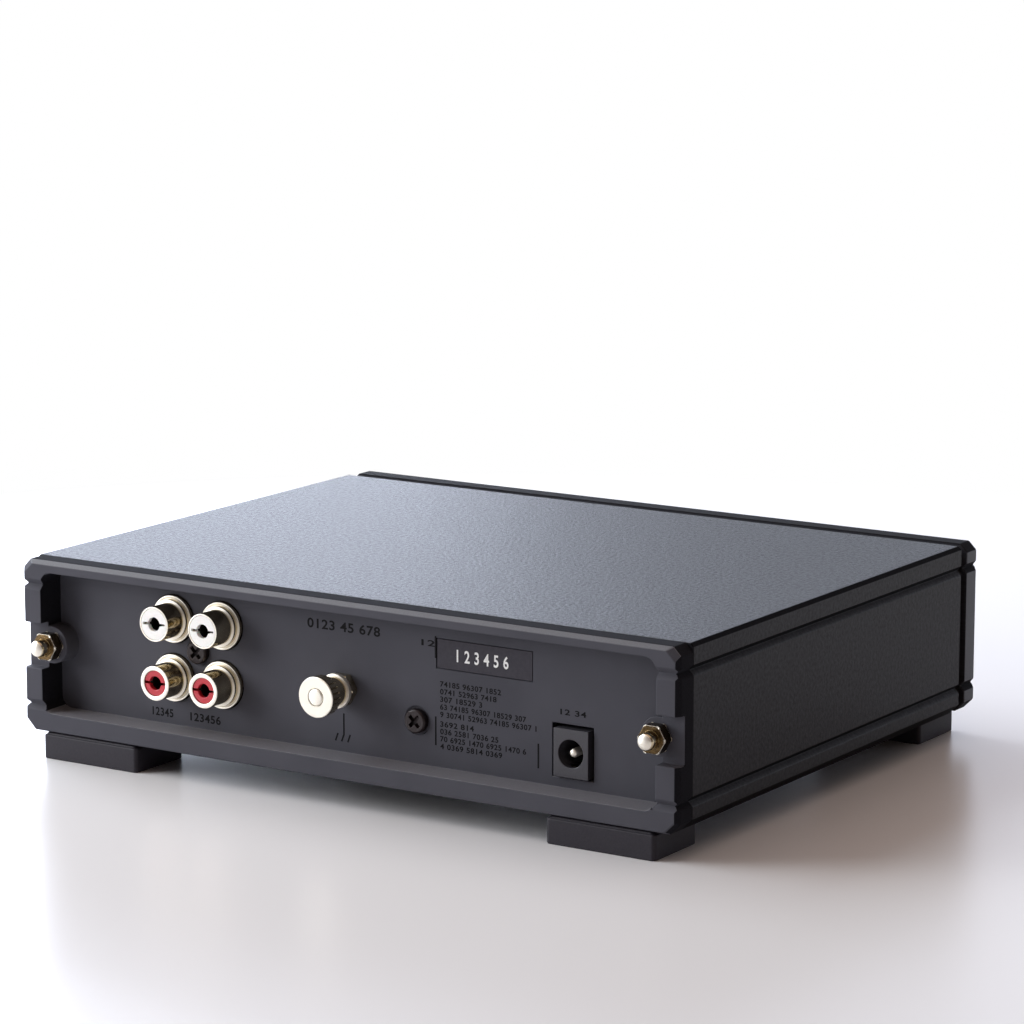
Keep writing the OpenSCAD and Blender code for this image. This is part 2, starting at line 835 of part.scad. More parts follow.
module dc_jack_body() {
    spring_t = 0.5;
    color("#17171a") difference() {
        slab(jack_back, jack_face_y)
            rect(jack_x - jack_w / 2, jack_x + jack_w / 2, board_top, board_top + jack_h);
        at(jack_x, jack_z) bar(jack_bore_r, jack_floor_y, jack_face_y + 1);
        at(jack_x, jack_z) bar(jack_root_r + run_fit, jack_back - 1, jack_floor_y + 1);
        block([jack_x - 1.3, jack_back + 2, board_top - 1],
            [jack_x + 1.3, jack_face_y - 1.5, jack_z - jack_bore_r + spring_t]);
    }
}

module dc_jack_pin() {
    end_y = jack_face_y - 0.8;
    color("#dcdad4") at(jack_x, jack_z) turned([
        [0, jack_back], [jack_root_r, jack_back], [jack_root_r, jack_floor_y],
        [jack_pin_r, jack_floor_y], [jack_pin_r, end_y - 0.4], [jack_pin_r - 0.4, end_y],
        [0, end_y]
    ]);
}

// Leaf that presses on the plug's sleeve, in the slot below the bore
module dc_jack_spring() {
    leaf_w = 2.2;
    leaf_t = 0.5;
    leaf_top = jack_z - jack_bore_r + 0.1;
    color("#dcdad4") {
        block([jack_x - leaf_w / 2, jack_back + 2.4, leaf_top - leaf_t],
            [jack_x + leaf_w / 2, jack_face_y - 2, leaf_top]);
        block([jack_x - leaf_w / 2, jack_back + 2.4, board_top],
            [jack_x + leaf_w / 2, jack_back + 2.4 + leaf_t, leaf_top - leaf_t / 2]);
    }
}

// ---------------------------------------------------------------- circuit board

module main_board() {
    color("#1f5a34") block([-bore_w + 0.4, board_y0, board_z], [bore_w - 0.4, board_y1, board_top]);
}

// Angle that ties the board to the rear panel
module board_bracket() {
    x0 = bracket_x - bracket_w / 2;
    x1 = bracket_x + bracket_w / 2;
    color("#a9adb3") difference() {
        union() {
            block([x0, panel_y - bracket_t, board_top], [x1, panel_y, bracket_z + 5]);
            block([x0, panel_y - bracket_foot, board_top], [x1, panel_y, board_top + 1.5]);
            at(bracket_x, bracket_z) bar(screw_r + 1.5, panel_y - screw_reach, panel_y);
        }
        at(bracket_x, bracket_z) bar(screw_r + run_fit, panel_y - screw_reach - 1, panel_y + 1);
    }
}

// ---------------------------------------------------------------- front controls

module power_button() {
    edge = 0.6;
    color("#26262a") at(button_x, control_z) difference() {
        turned([
            [0, button_y0], [button_r - edge, button_y0], [button_r, button_y0 + edge],
            [button_r, button_y1], [0, button_y1]
        ]);
        bar(plunger_r + run_fit, button_y1 - plunger_socket, button_y1 + 1);
    }
}

module button_plunger() {
    color("#e4e2da") at(button_x, control_z)
        bar(plunger_r, button_y1 - plunger_socket, slider_y0);
}

module switch_slider() {
    half = slider_w / 2;
    color("#f0eee6") at(button_x, control_z) {
        block([-half, slider_y0, -half], [half, slider_y1, half]);
        bar(stem_r, slider_y1, slider_y1 + stem_len);
    }
}

// Return spring around the slider's stem: a round wire swept along a helix about Y
module switch_spring() {
    sides = 6;
    turn_steps = 14;
    steps = turn_steps * spring_turns;
    rise = (stem_len - 2 * spring_wire) / steps;
    points = [for (i = [0:steps], k = [0:sides - 1]) let (
        turn = i * 360 / turn_steps,
        side = k * 360 / sides,
        out = spring_r + spring_wire * cos(side)
    ) [out * cos(turn), spring_wire * (1 + sin(side)) + i * rise, out * sin(turn)]];
    walls = [for (i = [0:steps - 1], k = [0:sides - 1]) let (
        here = i * sides, there = here + sides, next = (k + 1) % sides
    ) each [[here + k, here + next, there + next], [here + k, there + next, there + k]]];
    start = [for (k = [sides - 1:-1:0]) k];
    end = [for (k = [0:sides - 1]) steps * sides + k];
    color("#b9bcc2") at(button_x, control_z) translate([0, slider_y1, 0])
        polyhedron(points, concat([start], walls, [end]));
}

module switch_body() {
    half = slider_w / 2 + move_gap;
    color("#2a2a2e") difference() {
        block([button_x - switch_w / 2, switch_y0, board_top],
            [button_x + switch_w / 2, switch_y1, switch_top]);
        at(button_x, control_z)
            block([-half, switch_y0 - 1, -half], [half, switch_y1 - switch_back, half]);
    }
}

module led() {
    leg = 0.5;
    back_y = led_y + led_len;
    color("#f4f4ff") {
        at(led_x, control_z) {
            bar(led_r, led_y, back_y);
            bar(led_r + 0.4, back_y - 1, back_y);
        }
        for (dx = [-0.8, 0.8]) {
            block([led_x + dx - leg / 2, back_y - 0.2, control_z - leg / 2],
                [led_x + dx + leg / 2, back_y + 1.2, control_z + leg / 2]);
            block([led_x + dx - leg / 2, back_y + 1.2 - leg, board_top],
                [led_x + dx + leg / 2, back_y + 1.2, control_z]);
        }
    }
}

module light_pipe() {
    color("#dfe6ea") at(led_x, control_z) {
        bar(led_r, front_y - 0.2, sleeve_y0);
        bar(pipe_flange_r, sleeve_y0, sleeve_y0 + pipe_flange_t);
    }
}

// ---------------------------------------------------------------- parts on the board

// Places a child on the board at every crossing of xs and ys
module on_board(xs, ys) {
    for (x = xs, y = ys) translate([x, y, board_top]) children();
}

// A can capacitor with a crimp ring near its foot
module can(r, h) {
    ring = 1.2;
    dent = 0.4;
    rotate_extrude() polygon([
        [0, 0], [r, 0], [r, ring], [r - dent, ring + dent], [r - dent, ring + 2 * dent],
        [r, ring + 3 * dent], [r, h - dent], [r - dent, h], [0, h]
    ]);
}

// A part with a round body between two leads that are bent down
module axial_part(r, len) {
    lift = r + fit;
    translate([0, 0, lift]) rotate([0, 90, 0]) {
        translate([0, 0, -len / 2]) cylinder(r = r, h = len);
        translate([0, 0, -lead_span / 2 - lead_r])
            cylinder(r = lead_r, h = lead_span + 2 * lead_r, $fn = 16);
    }
    for (x = [-lead_span / 2, lead_span / 2]) translate([x, 0, 0])
        cylinder(r = lead_r, h = lift, $fn = 16);
}

module power_capacitors() {
    color("#23282f") on_board(can_x, can_y) can(can_r, can_h);
}

module coupling_capacitors() {
    color("#2c3a66") on_board(coupling_x, coupling_y) can(coupling_r, coupling_h);
}

module film_capacitors() {
    half = film_size / 2;
    color("#a8322c") on_board(film_x, film_y)
        block([-half[0], -half[1], 0], [half[0], half[1], film_size[2]]);
}

module op_amps() {
    lift = 0.6;
    pin = 0.5;
    pin_top = 2.2;
    half = chip_size / 2;
    color("#1b1b1d") on_board(chip_x, chip_y) {
        block([-half[0], -half[1], lift], [half[0], half[1], lift + chip_size[2]]);
        for (i = [0:3], side = [-1, 1])
            translate([pin_pitch * (i - 1.5), side * (half[1] + pin / 2), 0])
                block([-pin / 2, -pin, 0], [pin / 2, pin, pin_top]);
    }
}

module transistors() {
    lift = 4;
    flat_y = transistor_r / 2;
    color("#1b1b1d") on_board(transistor_x, transistor_y) {
        translate([0, 0, lift]) difference() {
            cylinder(r = transistor_r, h = transistor_h);
            block([-transistor_r, flat_y, -1], [transistor_r, transistor_r + 1, transistor_h + 1]);
        }
        for (i = [-1, 0, 1]) translate([i * pin_pitch / 2, 0, 0])
            cylinder(r = lead_r, h = lift + lead_r, $fn = 16);
    }
}

module resistors() {
    color("#8fb8c9") on_board(resistor_x, resistor_y) axial_part(resistor_r, resistor_len);
}

module rectifier_diodes() {
    color("#1b1b1d") on_board(diode_x, diode_y) axial_part(diode_r, diode_len);
}

module regulators() {
    leg_w = 0.8;
    leg_t = 0.5;
    leg_y = -regulator_t / 2;
    color("#1b1b1d") on_board(regulator_x, [sink_y]) {
        difference() {
            block([-tab_w / 2, -tab_t, tab_low], [tab_w / 2, 0, tab_high]);
            at(0, tab_hole_up) bar(screw_r + fit, -tab_t - 1, 1);
        }
        block([-tab_w / 2, -regulator_t, tab_low], [tab_w / 2, -tab_t / 2, regulator_top]);
        for (i = [-1, 0, 1]) translate([i * pin_pitch, leg_y, 0])
            block([-leg_w / 2, -leg_t, 0], [leg_w / 2, 0, tab_low + leg_t]);
    }
}

module heatsinks() {
    fin_step = (sink_w - sink_fin) / (sink_fins - 1);
    color("#2d2d31") on_board(regulator_x, [sink_y]) difference() {
        union() {
            block([-sink_w / 2, 0, 0], [sink_w / 2, sink_base, sink_h]);
            for (i = [0:sink_fins - 1]) translate([-sink_w / 2 + i * fin_step, 0, 0])
                block([0, sink_base / 2, 0], [sink_fin, sink_d, sink_h]);
        }
        at(0, tab_hole_up) bar(screw_r + run_fit, -1, sink_base - 2 * fit);
    }
}

module heatsink_screws() {
    color("#b9bcc2") on_board(regulator_x, [sink_y]) translate([0, -tab_t, tab_hole_up])
        rotate([0, 0, 180]) cross_screw(screw_r, tab_t + sink_base - 4 * fit, head_r, head_h);
}

// ---------------------------------------------------------------- assembly

sleeve();
front_fascia();
front_carrier();
rear_panel();
tie_rod(-1);  // tie_rod_left
tie_rod(1);  // tie_rod_right
tie_rod_nuts();
fascia_inserts();
foot(-1, -1);  // foot_front_left
foot(1, -1);  // foot_front_right
foot(-1, 1);  // foot_rear_left
foot(1, 1);  // foot_rear_right
foot_screws();
rca_block();
rca_shell(input_x, left_z, true);  // input_left_shell
rca_shell(input_x, right_z, false);  // input_right_shell
rca_shell(output_x, left_z, true);  // output_left_shell
rca_shell(output_x, right_z, false);  // output_right_shell
rca_insulator(input_x, left_z, true);  // input_left_insulator
rca_insulator(input_x, right_z, false);  // input_right_insulator
rca_insulator(output_x, left_z, true);  // output_left_insulator
rca_insulator(output_x, right_z, false);  // output_right_insulator
rca_contact(input_x, left_z);  // input_left_contact
rca_contact(input_x, right_z);  // input_right_contact
rca_contact(output_x, left_z);  // output_left_contact
rca_contact(output_x, right_z);  // output_right_contact
panel_screws();
number_label();
ground_stud();
ground_hex_nut();
ground_washer();
ground_thumb_nut();
ground_inner_nut();
ground_tag();
ground_wire();
dc_jack_body();
dc_jack_pin();
dc_jack_spring();
main_board();
board_bracket();
power_button();
button_plunger();
switch_slider();
switch_spring();
switch_body();
led();
light_pipe();
power_capacitors();
coupling_capacitors();
film_capacitors();
op_amps();
transistors();
resistors();
rectifier_diodes();
regulators();
heatsinks();
heatsink_screws();
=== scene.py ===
"""Phono preamp: its finishes and fine shapes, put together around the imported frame.

The camera, table and lamps are given in metres, and shapes and patterns in millimetres, which
MM turns into metres. +Z is up, and the rear panel with the sockets faces +Y.
"""

import math

import bmesh
import bpy
from mathutils import Matrix, Vector


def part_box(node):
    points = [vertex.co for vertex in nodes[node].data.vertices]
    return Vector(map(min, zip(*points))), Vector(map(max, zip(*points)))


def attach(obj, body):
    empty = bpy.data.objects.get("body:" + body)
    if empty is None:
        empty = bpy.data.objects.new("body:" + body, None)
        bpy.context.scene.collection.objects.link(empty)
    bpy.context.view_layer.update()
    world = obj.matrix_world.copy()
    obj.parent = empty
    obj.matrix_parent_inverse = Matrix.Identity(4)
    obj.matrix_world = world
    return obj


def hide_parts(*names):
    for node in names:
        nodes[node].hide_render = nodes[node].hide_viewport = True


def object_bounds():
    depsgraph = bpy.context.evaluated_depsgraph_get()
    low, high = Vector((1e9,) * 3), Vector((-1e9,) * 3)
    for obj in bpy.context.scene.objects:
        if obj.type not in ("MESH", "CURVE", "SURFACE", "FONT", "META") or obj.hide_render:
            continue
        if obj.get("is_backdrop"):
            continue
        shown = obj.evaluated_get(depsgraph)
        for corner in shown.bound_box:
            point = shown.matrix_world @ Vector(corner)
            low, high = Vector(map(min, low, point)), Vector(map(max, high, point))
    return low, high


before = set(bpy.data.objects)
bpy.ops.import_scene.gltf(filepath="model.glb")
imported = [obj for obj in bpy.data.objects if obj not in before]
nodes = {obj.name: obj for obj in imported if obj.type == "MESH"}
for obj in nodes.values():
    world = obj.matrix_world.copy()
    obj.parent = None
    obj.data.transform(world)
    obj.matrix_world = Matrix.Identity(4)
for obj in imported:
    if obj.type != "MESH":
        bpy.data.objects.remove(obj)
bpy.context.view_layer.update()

# ---------------------------------------------------------------- camera
# A long lens about a metre from the case. It looks at the rear panel from the -X side, and down
# on the top a little.
scene = bpy.context.scene
eye = Vector((-0.5147, 0.7955, 0.2356))
yaw, pitch, roll = math.radians(32.8), math.radians(10.69), math.radians(0.03)
ahead = Vector((
    math.sin(yaw) * math.cos(pitch), -math.cos(yaw) * math.cos(pitch), -math.sin(pitch),
))
camera = bpy.data.objects.new("camera", bpy.data.cameras.new("camera"))
camera.data.sensor_width = 36
camera.data.lens = 142.4
camera.data.clip_end = 20
aim = ahead.to_track_quat("-Z", "Y").to_matrix().to_4x4() @ Matrix.Rotation(roll, 4, "Z")
camera.matrix_world = Matrix.Translation(eye) @ aim
scene.collection.objects.link(camera)
scene.camera = camera
scene.view_settings.view_transform = "Standard"


# ---------------------------------------------------------------- table
# A pale lacquered table top. It keeps the shadow of the case, and fades into the white room
# past its edge.
def tone(code):
    """A linear colour from an sRGB hex value."""
    parts = [int(code[i:i + 2], 16) / 255 for i in (0, 2, 4)]
    return [c / 12.92 if c <= 0.04045 else ((c + 0.055) / 1.055) ** 2.4 for c in parts] + [1]


def add_node(tree, kind, inputs=None, **settings):
    """Adds a node with these settings. Each of its inputs is a value or another node's output."""
    made = tree.nodes.new("ShaderNode" + kind)
    for name, value in settings.items():
        setattr(made, name, value)
    for key, value in (inputs or {}).items():
        if isinstance(value, bpy.types.NodeSocket):
            tree.links.new(value, made.inputs[key])
        else:
            made.inputs[key].default_value = value
    return made


def new_finish(name, values):
    """A material whose shader has these values. Returns the material, its nodes and its shader."""
    made = bpy.data.materials.new(name)
    made.use_nodes = True
    shader = made.node_tree.nodes["Principled BSDF"]
    for socket, value in values.items():
        shader.inputs[socket].default_value = value
    return made, made.node_tree, shader


def finished(name, bm, material):
    """Makes a piece of a bmesh, with smooth shading between its sharp edges."""
    mesh = bpy.data.meshes.new(name)
    bm.to_mesh(mesh)
    bm.free()
    mesh.polygons.foreach_set("use_smooth", [True] * len(mesh.polygons))
    mesh.set_sharp_from_angle(angle=math.radians(40))
    mesh.materials.append(material)
    made = bpy.data.objects.new(name, mesh)
    scene.collection.objects.link(made)
    return made


# Sprayed lacquer with no grain, which mirrors the feet softly. Seen directly or in a mirror, it
# turns from lacquer to the room's plain white between two distances from the case.
lacquer, tree, shader = new_finish("white_lacquered_table", {
    "Base Color": tone("e6e6e8"), "Roughness": 0.3, "IOR": 1.5,
})
fade_from, fade_to = 0.29, 0.37
place = add_node(tree, "TexCoord").outputs["Object"]
distance = add_node(tree, "VectorMath", {0: place}, operation="LENGTH").outputs["Value"]
fade = add_node(tree, "MapRange", {
    "Value": distance, "From Min": fade_from, "From Max": fade_to,
}, interpolation_type="SMOOTHSTEP")
path = add_node(tree, "LightPath")
seen = add_node(tree, "Math", {
    0: path.outputs["Is Camera Ray"], 1: path.outputs["Is Glossy Ray"],
}, operation="MAXIMUM")
share = add_node(tree, "Math", {
    0: fade.outputs["Result"], 1: seen.outputs["Value"],
}, operation="MULTIPLY")
white_room = add_node(tree, "Emission", {"Color": tone("ffffff"), "Strength": 1})
mix = add_node(tree, "MixShader", {
    "Fac": share.outputs["Value"], 1: shader.outputs["BSDF"], 2: white_room.outputs["Emission"],
})
tree.links.new(mix.outputs["Shader"], tree.nodes["Material Output"].inputs["Surface"])
table_r = 4
bm = bmesh.new()
bmesh.ops.create_circle(bm, cap_ends=True, segments=96, radius=table_r)
table = finished("table", bm, lacquer)
table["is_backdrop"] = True

# ---------------------------------------------------------------- light
# A pale room, bright in a band low down beyond the case, warm and dim overhead, and darker on
# the camera's side. The camera sees it plain white.
room = bpy.data.worlds.new("room")
scene.world = room
room.use_nodes = True
tree = room.node_tree
beyond_case = (0.80, -0.60, 0)
toward = add_node(tree, "TexCoord").outputs["Generated"]
height = add_node(tree, "SeparateXYZ", {"Vector": toward}).outputs["Z"]
beyond = add_node(tree, "VectorMath", {0: toward, 1: beyond_case}, operation="DOT_PRODUCT")
facing = add_node(tree, "MapRange", {
    "Value": beyond.outputs["Value"], "From Min": -0.8, "From Max": 1,
}, interpolation_type="SMOOTHSTEP")
low_down = add_node(tree, "MapRange", {
    "Value": height, "From Min": 0.22, "From Max": 0.52, "To Min": 1, "To Max": 0,
}, interpolation_type="SMOOTHSTEP")
band = add_node(tree, "Math", {
    0: facing.outputs["Result"], 1: low_down.outputs["Result"],
}, operation="MULTIPLY")
overhead = add_node(tree, "MapRange", {
    "Value": height, "From Min": 0.6, "From Max": 0.95,
}, interpolation_type="SMOOTHSTEP")
walls = add_node(tree, "ValToRGB", {"Fac": band.outputs["Value"]})
walls.color_ramp.elements[0].color = tone("443b36")
walls.color_ramp.elements[1].color = tone("e6eeff")
# A Mix node of colours has its factor at 0, its two colours at 6 and 7, and its result at 2.
ceiling = add_node(tree, "Mix", {
    0: overhead.outputs["Result"], 6: walls.outputs["Color"], 7: tone("a39186"),
}, data_type="RGBA")
lit = tree.nodes["Background"]
lit.inputs["Strength"].default_value = 2.15
tree.links.new(ceiling.outputs[2], lit.inputs["Color"])
backdrop = add_node(tree, "Background", {"Color": tone("ffffff"), "Strength": 1})
path = add_node(tree, "LightPath")
mix = add_node(tree, "MixShader", {
    "Fac": path.outputs["Is Camera Ray"], 1: lit.outputs["Background"],
    2: backdrop.outputs["Background"],
})
tree.links.new(mix.outputs["Shader"], tree.nodes["World Output"].inputs["Surface"])


def soft_lamp(name, stand, target, width, height, radiance, hue):
    """A rectangular lamp at stand that faces target, with an even face of that radiance."""
    lamp = bpy.data.lights.new(name, "AREA")
    lamp.shape = "RECTANGLE"
    lamp.color = tone(hue)[:3]
    lamp.size, lamp.size_y = width, height
    lamp.energy = radiance * math.pi * width * height
    made = bpy.data.objects.new(name, lamp)
    facing = (Vector(target) - Vector(stand)).to_track_quat("-Z", "Y")
    made.matrix_world = Matrix.Translation(stand) @ facing.to_matrix().to_4x4()
    made.visible_camera = False
    scene.collection.objects.link(made)


# A window high over the +X side, a low lamp beyond the case whose light skims the top, and a
# small one, low on the +X side of the rear panel, that fills it.
soft_lamp(
    "window_lamp", stand=(0.95, 0.15, 0.80), target=(0, 0, 0),
    width=1.4, height=0.9, radiance=4.4, hue="eff8ff",
)
soft_lamp(
    "low_lamp_behind", stand=(0.617, -0.413, 0.147), target=(0, 0, 0.05),
    width=0.64, height=0.24, radiance=7.2, hue="e4ecff",
)
soft_lamp(
    "fill_lamp", stand=(0.52, 0.42, 0.20), target=(0, 0, 0.02),
    width=0.32, height=0.28, radiance=7.8, hue="fffefc",
)

# ---------------------------------------------------------------- front fascia
# A thick bar of aluminium, anodised black, with the case's V-grooves through its ends. Its face
# and ends are brushed; its long edges are left matt, as extruded.
MM = 0.001


def round_edges(bm, width):
    """Rounds the sharp edges of a bmesh over a width in millimetres."""
    sharp = [e for e in bm.edges if e.is_manifold and e.calc_face_angle() > math.radians(28)]
    bmesh.ops.bevel(
        bm, geom=sharp, offset=width * MM, offset_type="OFFSET", affect="EDGES", segments=2,
        profile=0.5, material=-1, clamp_overlap=False, loop_slide=True,
    )


def refinish(made, material, chosen):
    """Gives another finish to the faces of a piece whose normal and centre pass a test."""
    made.data.materials.append(material)
    index = len(made.data.materials) - 1
    for face in made.data.polygons:
        if chosen(face.normal, face.center):
            face.material_index = index


def stand_for(made, node, body):
    """Lets a piece ride on a body and stand for a CAD piece, which it hides."""
    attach(made, body)
    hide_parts(node)


def softened(name, node, material, edge, body="case", others=()):
    """Stands for a CAD piece with a copy whose sharp edges are rounded over edge millimetres.

    Each of the others is a finish and the test of normal and centre for the faces that get it.
    """
    bm = bmesh.new()
    bm.from_mesh(nodes[node].data)
    bmesh.ops.remove_doubles(bm, verts=bm.verts, dist=0.02 * MM)
    bmesh.ops.dissolve_limit(bm, angle_limit=math.radians(0.6), verts=bm.verts, edges=bm.edges)
    round_edges(bm, edge)
    made = finished(name, bm, material)
    for other, chosen in others:
        refinish(made, other, chosen)
    evened = made.modifiers.new("even_shading", "WEIGHTED_NORMAL")
    evened.keep_sharp = True
    stand_for(made, node, body)


def grain(tree, shader, size, depth, detail=2):
    """Relief all over a surface, of grains size millimetres wide and depth high.

    Returns the output that tells how high each place stands.
    """
    place = add_node(tree, "TexCoord").outputs["Object"]
    noise = add_node(tree, "TexNoise", {
        "Vector": place, "Scale": 1 / (size * MM), "Detail": detail,
    })
    relief = add_node(tree, "Bump", {
        "Height": noise.outputs["Fac"], "Distance": depth * MM, "Strength": 1,
    })
    tree.links.new(relief.outputs["Normal"], shader.inputs["Normal"])
    return noise.outputs["Fac"]


def mottled(tree, shader, fac, tones):
    """Lets the base colour wander between two tones with fac."""
    ramp = add_node(tree, "ValToRGB", {"Fac": fac})
    for element, position, code in zip(ramp.color_ramp.elements, (0.3, 0.7), tones):
        element.position = position
        element.color = tone(code)
    tree.links.new(ramp.outputs["Color"], shader.inputs["Base Color"])


def grained_finish(name, values, size, depth, tones, detail=2):
    """A material with a grain in millimetres, whose colour wanders between two tones with it."""
    made, tree, shader = new_finish(name, values)
    mottled(tree, shader, grain(tree, shader, size, depth, detail), tones)
    return made


# Brushed along X with a 0.3 mm grit line, then anodised: a dark satin that streaks the light.
anodised, tree, shader = new_finish("black_anodised_aluminium", {
    "Metallic": 0.6, "Roughness": 0.42,
})
place = add_node(tree, "TexCoord").outputs["Object"]
streaks = add_node(tree, "Mapping", {"Vector": place, "Scale": (0.02, 1, 1)})
brush = add_node(tree, "TexNoise", {
    "Vector": streaks.outputs["Vector"], "Scale": 1 / (0.3 * MM), "Detail": 3,
})
relief = add_node(tree, "Bump", {
    "Height": brush.outputs["Fac"], "Distance": 0.012 * MM, "Strength": 1,
})
tree.links.new(relief.outputs["Normal"], shader.inputs["Normal"])
mottled(tree, shader, brush.outputs["Fac"], ("35353a", "3f3f45"))
# Anodised as extruded, with a 0.3 mm grain: a soft black that hardly answers the light.
matt_edge = grained_finish("black_anodised_matt_edge", {
    "Roughness": 0.7, "Specular IOR Level": 0.06,
}, size=0.3, depth=0.01, tones=("151519", "1b1b20"))
softened("fascia_bar", "front_fascia", anodised, edge=0.25, others=[
    (matt_edge, lambda normal, centre: abs(normal.z) > 0.3),
])


# ---------------------------------------------------------------- front carrier and inserts
# The moulded frame in the shadow gap between fascia and sleeve, and the brass inserts that the
# tie rods screw into.
def paint(material, *names):
    """Gives CAD pieces a finish."""
    for name in names:
        nodes[name].data.materials.clear()
        nodes[name].data.materials.append(material)


# ABS from a lightly etched mould, 0.25 mm grain: an even satin black.
moulding = grained_finish(
    "black_moulded_abs", {"Roughness": 0.5},
    size=0.25, depth=0.01, tones=("18181b", "1f1f22"))
# Turned brass with 0.15 mm tool marks: a warm, slightly blurred shine.
brass = grained_finish(
    "turned_brass", {"Metallic": 1, "Roughness": 0.32},
    size=0.15, depth=0.004, tones=("a98544", "c49c58"))
paint(moulding, "front_carrier")
paint(brass, "fascia_inserts")


# ---------------------------------------------------------------- sleeve
# One aluminium extrusion that wraps the top, sides and underside, chamfered at its corners and
# grooved along its sides. It is powder coated black, pimpled on top and smoother on the sides.
def powder_coat(name, height, pit_shine, pimple_shine):
    """A black powder coat with pimples of that height in millimetres, and duller pits between.

    Its pimples are near 0.3 mm wide. They are drawn 0.9 mm wide, as fine as shows.
    """
    coat, tree, shader = new_finish(name, {"Roughness": 0.42})
    place = add_node(tree, "TexCoord").outputs["Object"]
    pimples = add_node(tree, "TexNoise", {
        "Vector": place, "Scale": 1 / (0.9 * MM), "Detail": 4, "Roughness": 0.65,
    }).outputs["Fac"]
    relief = add_node(tree, "Bump", {"Height": pimples, "Distance": height * MM, "Strength": 1})
    tree.links.new(relief.outputs["Normal"], shader.inputs["Normal"])
    shine = add_node(tree, "MapRange", {
        "Value": pimples, "From Min": 0.35, "From Max": 0.65,
        "To Min": pit_shine, "To Max": pimple_shine,
    })
    tree.links.new(shine.outputs["Result"], shader.inputs["Specular IOR Level"])
    mottled(tree, shader, pimples, ("19191d", "26262b"))
    return coat


# Painted shade on the chamfers and in the grooves: the same coat drawn nearly black and dull, with
# a 0.6 mm grain.
powder_coat_painted_shade = grained_finish("black_powder_coat_painted_shade", {
    "Roughness": 0.7, "Specular IOR Level": 0.03,
}, size=0.6, depth=0.03, tones=("0d0d10", "131317"))
# The sides catch an even grey sheen; the top sparkles where light grazes its pimples.
smooth_coat = powder_coat(
    "black_smooth_powder_coat", height=0.05, pit_shine=0.1, pimple_shine=0.14)
textured_coat = powder_coat(
    "black_textured_powder_coat", height=0.3, pit_shine=0.05, pimple_shine=0.23)
chamfer_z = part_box("sleeve")[1].z - 1.5 * MM


def chamfer_or_groove(normal, centre):
    """The top's two chamfers, and the flanks of the grooves and corners that look down, which get
    painted shade.
    """
    return abs(normal.x) > 0.2 and (normal.z < -0.2 or normal.z > 0.2 and centre.z > chamfer_z)


softened("sleeve_extrusion", "sleeve", smooth_coat, edge=0.2, others=[
    (textured_coat, lambda normal, centre: normal.z > 0.9),
    (powder_coat_painted_shade, chamfer_or_groove),
])

# ---------------------------------------------------------------- circuit board
# A board of glass fibre, etched with copper tracks and coated in green solder mask. A bent and
# plated steel angle ties it to the rear panel.

# Under the glossy mask the tracks stand out a little, paler, on a 6 mm grid.
mask, tree, shader = new_finish("green_solder_mask", {"Roughness": 0.28})
place = add_node(tree, "TexCoord").outputs["Object"]
tracks = add_node(tree, "TexBrick", {
    "Vector": place, "Scale": 1 / (6 * MM), "Mortar Size": 0.06,
    "Color1": tone("1d5a33"), "Color2": tone("236b3d"), "Mortar": tone("2f8049"),
}, offset=0.5)
tree.links.new(tracks.outputs["Color"], shader.inputs["Base Color"])
relief = add_node(tree, "Bump", {
    "Height": tracks.outputs["Fac"], "Distance": 0.03 * MM, "Strength": 1,
})
tree.links.new(relief.outputs["Normal"], shader.inputs["Normal"])
# Zinc plate with 0.8 mm crystals: a cool grey shine with a faint patchwork.
zinc = grained_finish(
    "zinc_plated_steel", {"Metallic": 1, "Roughness": 0.34},
    size=0.8, depth=0.006, tones=("9fa1a5", "b9bbbf"))
paint(mask, "main_board")
paint(zinc, "board_bracket", "heatsink_screws", "foot_screws")

# ---------------------------------------------------------------- parts on the board
# Cans in shrunk film, dipped and moulded epoxy, lacquered resistors and finned heatsinks. Each
# finish is one tone that wanders a little, over its own fine relief.
for name, values, size, depth, dark, light, made_of in (
    ("shrunk_film_black", {"Roughness": 0.3}, 1.5, 0.02, "1d2229", "262c35",
     ["power_capacitors"]),
    ("shrunk_film_blue", {"Roughness": 0.3}, 1.5, 0.02, "26345c", "31416f",
     ["coupling_capacitors"]),
    ("polyester_box_red", {"Roughness": 0.35}, 0.5, 0.01, "96302a", "ad3a33",
     ["film_capacitors"]),
    ("moulded_epoxy_black", {"Roughness": 0.6}, 0.12, 0.01, "19191b", "222224",
     ["op_amps", "transistors", "rectifier_diodes", "regulators"]),
    ("resistor_lacquer_blue", {"Roughness": 0.25}, 0.6, 0.02, "84adc0", "9ac2d3",
     ["resistors"]),
    ("heatsink_black_anodised", {"Roughness": 0.45, "Metallic": 0.6}, 0.3, 0.008,
     "28282c", "323237", ["heatsinks"]),
):
    paint(grained_finish(name, values, size, depth, tones=(dark, light)), *made_of)

# ---------------------------------------------------------------- front controls
# The anodised power button on its nylon plunger, the switch behind it with its return spring,
# and the clear light pipe that carries the lamp's light through the fascia.

# Moulded nylon, 0.4 mm grain: milky, as light sinks a little way in.
nylon = grained_finish("natural_moulded_nylon", {
    "Roughness": 0.45, "Subsurface Weight": 0.1, "Subsurface Scale": 1 * MM,
}, size=0.4, depth=0.008, tones=("e2ded2", "efece2"))
# Polished acrylic, with 2 mm ripples of the mould: clear, with a crisp shine.
clear, tree, shader = new_finish("clear_moulded_acrylic", {
    "Base Color": tone("eef3f6"), "Roughness": 0.08, "IOR": 1.49, "Transmission Weight": 0.85,
})
grain(tree, shader, size=2, depth=0.01)
softened("power_button_cap", "power_button", anodised, edge=0.2, body="button")
paint(nylon, "button_plunger", "switch_slider")
paint(zinc, "switch_spring")
paint(moulding, "switch_body")
paint(clear, "led", "light_pipe")


